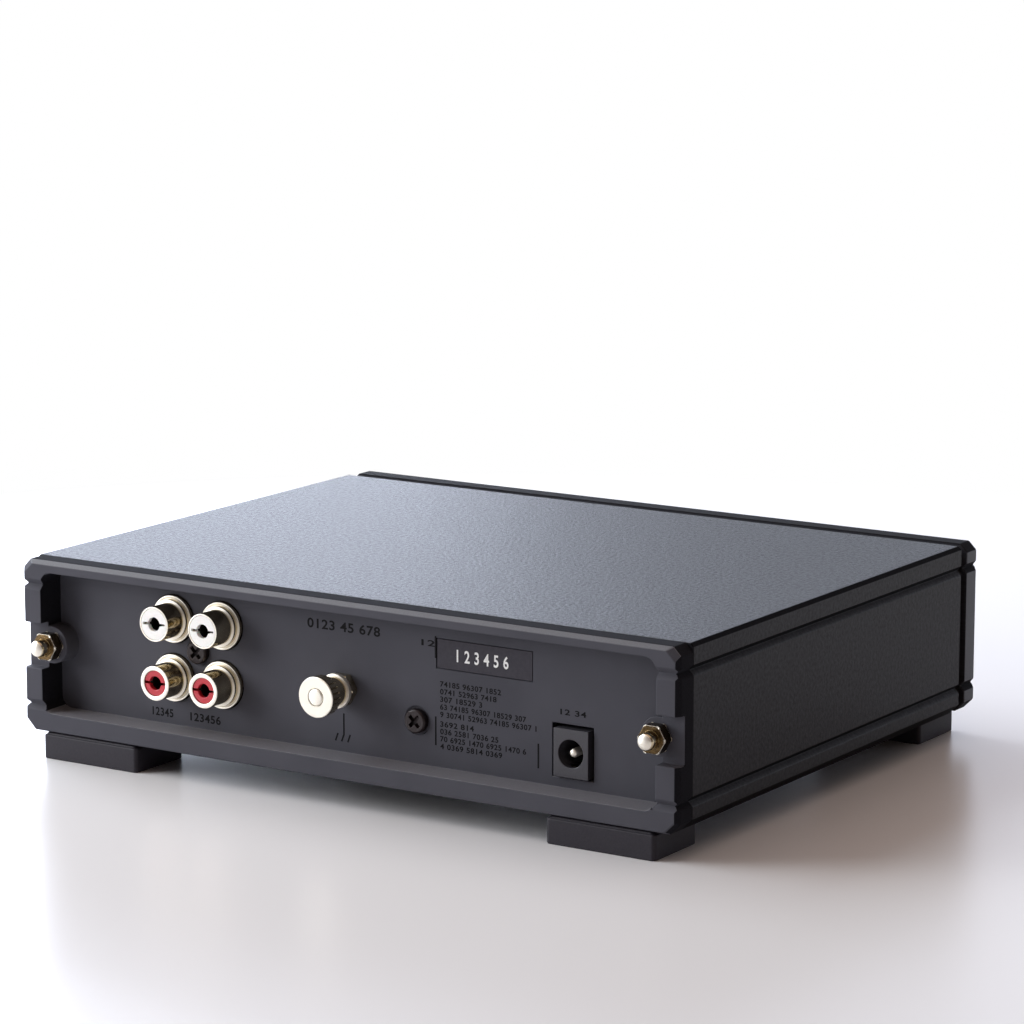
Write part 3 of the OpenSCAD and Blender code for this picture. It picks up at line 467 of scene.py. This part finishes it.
# ---------------------------------------------------------------- rear panel
# A single moulding in dark grey ABS: a deep bevelled rim around a sunk field, with lugs for the
# tie rods, which clamp it to the sleeve.
def middle(node):
    """The X and Z of a round piece's axis, in metres."""
    low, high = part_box(node)
    return (low.x + high.x) / 2, (low.z + high.z) / 2


# Spark erosion of the mould leaves a matt grain near 0.1 mm, drawn 0.35 mm wide, as fine as
# shows. The grey drifts over some 18 mm across the field.
panel_grain, panel_depth = 0.35, 0.02
panel_abs, tree, shader = new_finish("grey_spark_eroded_abs", {
    "Roughness": 0.65, "Specular IOR Level": 0.12,
})
grain(tree, shader, size=panel_grain, depth=panel_depth, detail=3)
place = add_node(tree, "TexCoord").outputs["Object"]
drift = add_node(tree, "TexNoise", {"Vector": place, "Scale": 1 / (18 * MM), "Detail": 2})
mottled(tree, shader, drift.outputs["Fac"], ("46464d", "4c4c53"))
# The strip that meets the sleeve and the upright flanks are drawn darker and duller: painted
# shade. The upper bevel is drawn paler and glossier as a painted highlight, and the ledge under
# the field paler still, as painted light from above.
abs_painted_shade = grained_finish("dark_abs_painted_shade", {
    "Roughness": 0.8, "Specular IOR Level": 0.04,
}, size=panel_grain, depth=panel_depth, detail=3, tones=("1a1a1e", "212126"))
# Painted highlight on the upper bevel: the plastic drawn paler than the field.
bevel_abs_painted_highlight = grained_finish("satin_abs_bevel_painted_highlight", {
    "Roughness": 0.45, "Specular IOR Level": 0.36,
}, size=panel_grain, depth=panel_depth, detail=3, tones=("4f4f55", "57565c"))
# Painted light on the ledge under the field, which faces up: the plastic drawn paler still.
ledge_abs_painted_light = grained_finish("pale_abs_ledge_painted_light", {
    "Roughness": 0.45, "Specular IOR Level": 0.36,
}, size=panel_grain, depth=panel_depth, detail=3, tones=("6c6b71", "757479"))
panel_low, panel_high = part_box("rear_panel")
strip_z = panel_high.z - 2 * MM
ledge_z, ledge_x = panel_low.z + 10 * MM, panel_high.x - 6 * MM
flank_x = panel_high.x - 1.5 * MM
rod_z, lug_half = middle("tie_rod_left")[1], 5 * MM


def strip_or_flank(normal, centre):
    """The top strip, and the upright flanks but for those of the lugs."""
    at_lug = abs(centre.x) <= flank_x and abs(centre.z - rod_z) <= lug_half
    return normal.z > 0.9 and centre.z > strip_z or abs(normal.x) > 0.5 and not at_lug


def upper_bevel(normal, centre):
    """The bevel along the rim's top."""
    return 0.5 < normal.z <= 0.9 and normal.y > 0.3 and centre.z > strip_z


def lower_ledge(normal, centre):
    """The rim's inner face below the field."""
    return normal.z > 0.8 and centre.z < ledge_z and abs(centre.x) < ledge_x


softened("rear_moulding", "rear_panel", panel_abs, edge=0.22, others=[
    (abs_painted_shade, strip_or_flank), (bevel_abs_painted_highlight, upper_bevel), (ledge_abs_painted_light, lower_ledge),
])


# ---------------------------------------------------------------- phono sockets
# Four turned brass barrels, nickel plated, that pass through the panel from one moulded block.
# Each has a stepped flange, an insulator and a sprung centre contact behind a dark hole.
def box_mm(node):
    """The low and high corners of a CAD piece's box, in millimetres."""
    low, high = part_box(node)
    return low / MM, high / MM


def faces_back(normal, centre):
    """The faces that look along +Y."""
    return normal.y > 0.6


def turned(name, node, outline, material, rounding, body="case", steps=72, painted_highlight=None):
    """Stands for a round CAD piece with a closed outline of (radius, y), turned about its axis.

    The outline and the width of its rounded edges are millimetres. The faces that look back get
    the painted_highlight finish, a paler copy of the plate drawn as a painted highlight.
    """
    bm = bmesh.new()
    corners = [bm.verts.new((r * MM, y * MM, 0)) for r, y in outline]
    lines = [bm.edges.new(pair) for pair in zip(corners, corners[1:])]
    if min(r for r, y in outline) > 0:
        lines.append(bm.edges.new((corners[-1], corners[0])))
    bmesh.ops.spin(
        bm, geom=corners + lines, cent=(0, 0, 0), axis=(0, 1, 0), angle=2 * math.pi,
        steps=steps, use_merge=True,
    )
    bmesh.ops.remove_doubles(bm, verts=bm.verts, dist=0.001 * MM)
    bmesh.ops.recalc_face_normals(bm, faces=bm.faces)
    round_edges(bm, rounding)
    x, z = middle(node)
    bmesh.ops.translate(bm, verts=bm.verts, vec=(x, 0, z))
    made = finished(name, bm, material)
    if painted_highlight:
        refinish(made, painted_highlight, faces_back)
    stand_for(made, node, body)


# Bright nickel over turned brass: warm, and smooth but for faint turning lines 0.12 mm apart.
# Against the paler copy below, this plate is drawn darker and browner, as painted shade for the
# sides that face away from the light.
nickel, tree, shader = new_finish("bright_nickel_plate", {"Metallic": 1, "Roughness": 0.15})
place = add_node(tree, "TexCoord").outputs["Object"]
rings = add_node(tree, "Mapping", {"Vector": place, "Scale": (0.05, 1, 0.05)})
lathe = add_node(tree, "TexNoise", {
    "Vector": rings.outputs["Vector"], "Scale": 1 / (0.12 * MM), "Detail": 1,
})
relief = add_node(tree, "Bump", {
    "Height": lathe.outputs["Fac"], "Distance": 0.003 * MM, "Strength": 1,
})
tree.links.new(relief.outputs["Normal"], shader.inputs["Normal"])
tarnish = add_node(tree, "TexNoise", {"Vector": place, "Scale": 1 / (3 * MM), "Detail": 2})
mottled(tree, shader, tarnish.outputs["Fac"], ("c2b496", "d2c6aa"))
# Painted highlight: a paler, rougher copy of the plate, for the faces that look back and other
# parts drawn as they show lit.
nickel_painted_highlight = grained_finish("nickel_plate_painted_highlight", {
    "Metallic": 0.75, "Roughness": 0.42,
}, size=0.15, depth=0.003, tones=("f0eadd", "f8f3e8"))
# Smooth moulded insulators with a 0.3 mm ripple: clean colours, a little soft inside.
white_plastic = grained_finish("white_moulded_insulator", {
    "Roughness": 0.35, "Subsurface Weight": 0.08, "Subsurface Scale": 0.8 * MM,
}, size=0.3, depth=0.004, tones=("efeeea", "f6f5f2"))
red_plastic = grained_finish("red_moulded_insulator", {
    "Roughness": 0.35, "Subsurface Weight": 0.05, "Subsurface Scale": 0.6 * MM,
}, size=0.3, depth=0.004, tones=("b32632", "c2303c"))
# The brass contacts are drawn nearly black and dull, as painted shade for the depth of the holes.
brass_painted_shade = grained_finish("brass_contact_painted_shade", {
    "Metallic": 0.5, "Roughness": 0.6,
}, size=0.3, depth=0.004, tones=("17130e", "211b13"))

bore_r, barrel_r, collar_r, lip_r, lip_lean = 3.05, 4.1, 4.8, 5.15, 0.1
seat_h, flange_t, lip_h, collar_t, cap_t, cap_dish = 2.5, 1, 0.15, 2, 0.6, 0.02
for column in ("input", "output"):
    for row, plastic, slot, mouth_r in (
        ("left", white_plastic, "white_insulator", 3.75),
        ("right", red_plastic, "red_insulator", bore_r),
    ):
        socket = f"{column}_{row}"
        low, high = box_mm(f"{socket}_shell")
        flange_r, back, face = (high.x - low.x) / 2, low.y, high.y
        seat = back + seat_h
        step = seat + flange_t - lip_h
        turned(f"{socket}_barrel", f"{socket}_shell", [
            (bore_r, back), (flange_r, back), (flange_r, seat + flange_t),
            (lip_r, seat + flange_t), (lip_r - lip_lean, step), (collar_r, step),
            (collar_r, seat + collar_t), (barrel_r, seat + collar_t), (barrel_r, face),
            (mouth_r, face), (mouth_r, face - cap_t), (bore_r, face - cap_t - cap_dish),
        ], nickel, rounding=0.12, painted_highlight=nickel_painted_highlight)
        softened(f"{socket}_plastic", f"{socket}_insulator", plastic, edge=0.12)
        paint(brass_painted_shade, f"{socket}_contact")
paint(moulding, "rca_block")

# ---------------------------------------------------------------- panel screws
# Two steel screws with cross recesses. One holds the socket block to the panel, the other the
# bracket of the board.

# Black oxide, oiled, over 0.3 mm tool marks: a brownish black with a low shine.
oxide = grained_finish("black_oxide_steel", {
    "Metallic": 0.4, "Roughness": 0.36,
}, size=0.3, depth=0.006, tones=("231c1d", "2e2526"))
softened("black_screws", "panel_screws", oxide, edge=0.1)

# ---------------------------------------------------------------- power inlet
# A moulded socket let into a square cut-out of the panel, with a plated pin, and a leaf that
# presses on the plug.

# Moulded ABS, 0.3 mm grain: dark grey, smoother than the panel.
inlet_abs = grained_finish(
    "black_moulded_inlet", {"Roughness": 0.42},
    size=0.3, depth=0.008, tones=("37363c", "3e3d43"))
softened("inlet_housing", "dc_jack_body", inlet_abs, edge=0.15)
# The pin stands on a thicker root, and its tip is rounded.
low, high = box_mm("dc_jack_pin")
root_r, root_len, pin_r, tip = (high.x - low.x) / 2, 4.6, 1, high.y
# The whole pin is drawn in the paler copy of the plate, a painted glint.
turned("inlet_pin", "dc_jack_pin", [
    (0, low.y), (root_r, low.y), (root_r, low.y + root_len), (pin_r, low.y + root_len),
    (pin_r, tip - 0.7), (0.85, tip - 0.3), (0.5, tip - 0.06), (0, tip),
], nickel_painted_highlight, rounding=0.05, steps=40)
paint(nickel, "dc_jack_spring")

# ---------------------------------------------------------------- ground terminal
# A threaded stud held by a hex nut, with a washer and a thumb nut that clamp the lead. Behind
# the panel, a tag and a green wire take it to the board.
low, high = box_mm("ground_stud")
thread_r, thread_pitch, thread_depth = (high.x - low.x) / 2, 0.7, 0.3
core_r = thread_r - thread_depth
lead, plain_len, end_r = 0.3, 1.2, 0.9
outline = [(0, low.y), (core_r, low.y)]
turns = int((high.y - low.y - plain_len) / thread_pitch)
for i in range(turns):
    root_y = low.y + lead + i * thread_pitch
    outline += [(core_r, root_y), (thread_r, root_y + thread_pitch / 2)]
# The stud's end is rounded over to a small flat.
outline += [
    (thread_r - 0.02, high.y - 0.35), (core_r, high.y - 0.05), (end_r, high.y), (0, high.y),
]
turned(
    "ground_thread", "ground_stud", outline, nickel, rounding=0.04, steps=48, painted_highlight=nickel_painted_highlight)

hole_r = thread_r + 0.05
low, high = box_mm("ground_washer")
washer_r = (high.x - low.x) / 2
# The washer is drawn all in the paler copy of the plate, a painted highlight.
turned("ground_washer_ring", "ground_washer", [
    (hole_r, low.y), (washer_r, low.y), (washer_r, high.y), (hole_r, high.y),
], nickel_painted_highlight, rounding=0.2, body="ground_washer")

# The thumb nut has a head with knurls, between a chamfer and a smooth end ring, on a narrower
# hub. Each knurl is a groove between six points of the circle.
low, high = box_mm("ground_thumb_nut")
nut_r, knurls, knurl_points, knurl_depth = (high.x - low.x) / 2, 24, 6, 0.3
hub_r, hub_edge, head_len, head_edge = 3.5, 0.2, 3.4, 0.35
knurl_end, ring_len, nut_edge, entry_r = 0.6, 0.45, 0.15, thread_r + 0.2
head_y = high.y - head_len
bm = bmesh.new()
rings = []
for radius, y, groove in (
    (hub_r - hub_edge, low.y, 0), (hub_r, low.y + hub_edge, 0), (hub_r, head_y, 0),
    (nut_r - head_edge, head_y, 0), (nut_r, head_y + head_edge, knurl_depth),
    (nut_r, high.y - knurl_end, knurl_depth), (nut_r, high.y - ring_len, 0),
    (nut_r, high.y - nut_edge, 0), (nut_r - nut_edge, high.y, 0),
    (entry_r, high.y, 0), (hole_r, high.y - nut_edge, 0), (hole_r, low.y, 0),
):
    points = knurls * knurl_points
    ring = bmesh.ops.create_circle(bm, segments=points, radius=radius * MM)["verts"]
    for vert in ring[::knurl_points]:
        vert.co *= (radius - groove) / radius
    turn = Matrix.Translation((0, y * MM, 0)) @ Matrix.Rotation(math.radians(90), 4, "X")
    bmesh.ops.transform(bm, matrix=turn, verts=ring)
    rings.append(list({e for v in ring for e in v.link_edges}))
for one, other in zip(rings, rings[1:] + rings[:1]):
    bmesh.ops.bridge_loops(bm, edges=one + other)
bmesh.ops.recalc_face_normals(bm, faces=bm.faces)
x, z = middle("ground_thumb_nut")
bmesh.ops.translate(bm, verts=bm.verts, vec=(x, 0, z))
knob = finished("knurled_thumb_nut", bm, nickel)
# Its faces that look back get the paler copy of the plate, a painted highlight.
refinish(knob, nickel_painted_highlight, faces_back)
stand_for(knob, "ground_thumb_nut", "ground_nut")

softened("ground_outer_nut", "ground_hex_nut", nickel, edge=0.12)
paint(nickel, "ground_inner_nut")
# Tinned brass, rolled, 0.5 mm grain: pale gold with a blurred shine.
tag_brass = grained_finish(
    "tinned_brass", {"Metallic": 1, "Roughness": 0.4},
    size=0.5, depth=0.01, tones=("c0ad7c", "cfc09a"))
paint(tag_brass, "ground_tag")
# Extruded PVC, 0.6 mm ripple: a plain green with a waxy shine.
wire_green = grained_finish(
    "green_extruded_pvc", {"Roughness": 0.35},
    size=0.6, depth=0.01, tones=("2a8436", "35993f"))
paint(wire_green, "ground_wire")

# ---------------------------------------------------------------- number label
# A plastic sheet let into a shallow recess of the panel and glued there, screen printed with a
# plain number in white.

# Satin sheet, 0.8 mm ripple: a warm dark grey, nearly as dull as the panel.
sheet = grained_finish("satin_label_sheet", {
    "Roughness": 0.55, "Specular IOR Level": 0.15,
}, size=0.8, depth=0.006, tones=("3c3a41", "413f46"))
# White ink with the 0.1 mm grain of the screen: dry and opaque.
white_ink = grained_finish(
    "white_printing_ink", {"Roughness": 0.5},
    size=0.1, depth=0.004, tones=("e6e6e4", "f4f4f2"))
ink_gap, ink_t = 0.01, 0.02


def printed(name, words, x_from, x_to, z_from, z_to, face_y, ink):
    """Prints words on a face that looks to +Y, fitted between two X and two Z, in millimetres."""
    font = bpy.data.curves.new(name, "FONT")
    font.body = words
    font.extrude = 0.01
    # The strokes spread by a fiftieth of a letter's height, as ink does.
    font.offset = 0.02
    font.space_character = 1.1
    lettering = bpy.data.objects.new(name, font)
    scene.collection.objects.link(lettering)
    bpy.context.view_layer.update()
    mesh = bpy.data.meshes.new_from_object(lettering)
    bpy.data.objects.remove(lettering)
    low = Vector(map(min, zip(*(v.co for v in mesh.vertices))))
    high = Vector(map(max, zip(*(v.co for v in mesh.vertices))))
    stretch = Matrix.Diagonal((
        (x_from - x_to) / (high.x - low.x) * MM, (z_to - z_from) / (high.y - low.y) * MM,
        ink_t * MM / (high.z - low.z), 1,
    ))
    onto = Matrix((
        (-1, 0, 0, x_from * MM),
        (0, 0, 1, (face_y + ink_gap) * MM),
        (0, 1, 0, z_from * MM),
        (0, 0, 0, 1),
    ))
    mesh.transform(onto @ stretch @ Matrix.Translation(-low))
    bm = bmesh.new()
    bm.from_mesh(mesh)
    bmesh.ops.remove_doubles(bm, verts=bm.verts, dist=0.0005 * MM)
    bmesh.ops.recalc_face_normals(bm, faces=bm.faces)
    bpy.data.meshes.remove(mesh)
    made = finished(name, bm, ink)
    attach(made, "case")


softened("label_plate", "number_label", sheet, edge=0.06)
label_y = box_mm("number_label")[1].y
printed(
    "label_digits", "1 2 3 4 5 6", x_from=-28.3, x_to=-42.0, z_from=35.7, z_to=38.6,
    face_y=label_y, ink=white_ink,
)

# ---------------------------------------------------------------- panel printing
# Plain numbers screen printed on the panel's field: rows by the sockets, the terminal, the label
# and the inlet, and two blocks of small lines beside thin rules. A mark stands for ground.

# Black ink with the 0.1 mm grain of the screen: dull, and darker than the panel.
black_ink = grained_finish("black_printing_ink", {
    "Roughness": 0.6, "Specular IOR Level": 0.1,
}, size=0.1, depth=0.004, tones=("0b0a0c", "110f12"))
field_y = box_mm("ground_hex_nut")[0].y
rows = [
    ("title", "0123 45 678", 12.4, -7.7, 38.9, 41.2),
    ("input", "12345", 57.3, 51.2, 12.6, 14.6),
    ("output", "123456", 46.2, 37.4, 12.6, 14.6),
    ("label_side", "12", -18.9, -22.6, 38.5, 39.9),
    ("power", "12 34", -55.6, -62.3, 27.4, 28.7),
]
lines_x, line_h, signs_per_mm = -23.9, 1.3, 1.1
for block, lengths, first_z, pitch, step, skip, gap in (
    ("line", (16.2, 15.0, 11.2, 22.8, 25.5), 29.6, 1.75, 7, 3, 6),
    ("box_line", (9, 15.5, 22.8, 16.5), 20.4, 1.7, 3, 7, 5),
):
    for i, length in enumerate(lengths):
        places = range(1, int(length * signs_per_mm))
        digits = "".join(
            str((k * step + i * skip) % 10) if (k + i) % gap else " " for k in places)
        z = first_z - pitch * i
        rows.append((f"{block}_{i}", digits, lines_x, lines_x - length, z, z + line_h))
for name, words, x_from, x_to, z_from, z_to in rows:
    printed(f"print_{name}", words, x_from, x_to, z_from, z_to, field_y, black_ink)

# Upright rules stand before and after the small lines. The mark for ground is a stem over three
# dashes that lean to the same side.
rule_w, before_x, after_x = 0.4, -22.7, -49.9
stem_x, stem_top, stem_foot = 2.45, 20.0, 15.2
dash_x, dash_pitch, dash_lean, dash_foot = 3.1, 1.7, 0.7, 13.4
dashes = [
    (x, dash_foot, x - dash_lean, stem_foot)
    for x in (dash_x + dash_pitch, dash_x, dash_x - dash_pitch)
]
bm = bmesh.new()
for x0, z0, x1, z1 in (
    (before_x, 41.0, before_x, 36.0), (before_x, 22.6, before_x, 16.0),
    (after_x, 20.0, after_x, 14.4), (stem_x, stem_top, stem_x, stem_foot), *dashes,
):
    span = Vector((x1 - x0, 0, z1 - z0))
    lean = Matrix.Rotation(-math.atan2(span.z, span.x), 4, "Y")
    centre = Vector(((x0 + x1) / 2, field_y + ink_gap + ink_t / 2, (z0 + z1) / 2)) * MM
    size = Matrix.Diagonal((span.length * MM, ink_t * MM, rule_w * MM, 1))
    bmesh.ops.create_cube(bm, size=1, matrix=Matrix.Translation(centre) @ lean @ size)
rules = finished("print_rules", bm, black_ink)
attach(rules, "case")

# ---------------------------------------------------------------- tie rods and nuts
# Two long steel rods, nickel plated, that clamp the whole case together. Their domed ends stand
# out of plated hex nuts in the lugs of the rear panel.
dome_h, tip_edge = 1.3, 0.4
for side in ("left", "right"):
    low, high = box_mm(f"tie_rod_{side}")
    rod_r = (high.x - low.x) / 2
    dome = [
        (rod_r * math.cos(a), high.y - dome_h + dome_h * math.sin(a))
        for a in (math.radians(10 * k) for k in range(9))
    ]
    turned(f"rod_{side}", f"tie_rod_{side}", [
        (0, low.y), (rod_r - tip_edge, low.y), (rod_r, low.y + tip_edge), *dome, (0, high.y),
    ], nickel, rounding=0.03, steps=48, painted_highlight=nickel_painted_highlight)
# The nuts' flats and faces are drawn dark brown in 0.5 mm specks, as a painted dark reflection;
# their chamfered edges get the paler copy of the plate, a painted highlight.
nickel_painted_shade = grained_finish("nickel_plate_painted_shade", {
    "Metallic": 1, "Roughness": 0.25,
}, size=0.5, depth=0.004, tones=("4a3c29", "6b583c"))
softened("rod_nuts", "tie_rod_nuts", nickel_painted_highlight, edge=0.25, others=[
    (nickel_painted_shade, lambda normal, centre: abs(normal.y) < 0.2 or normal.y > 0.9),
])

# ---------------------------------------------------------------- feet
# Four moulded rubber feet with softly rounded edges, each held to the sleeve by one screw from
# below.

# Black rubber, 0.4 mm grain: a soft dark grey with a broad, weak shine.
rubber = grained_finish("black_moulded_foot", {
    "Roughness": 0.55, "Specular IOR Level": 0.3,
}, size=0.4, depth=0.02, tones=("25222a", "2c2930"))
for end in ("front", "rear"):
    for side in ("left", "right"):
        softened(f"{end}_{side}_pad", f"foot_{end}_{side}", rubber, edge=0.3)

# ---------------------------------------------------------------- size, and the end
# The size of the CAD pieces, and of the dressed ones.
low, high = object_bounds()
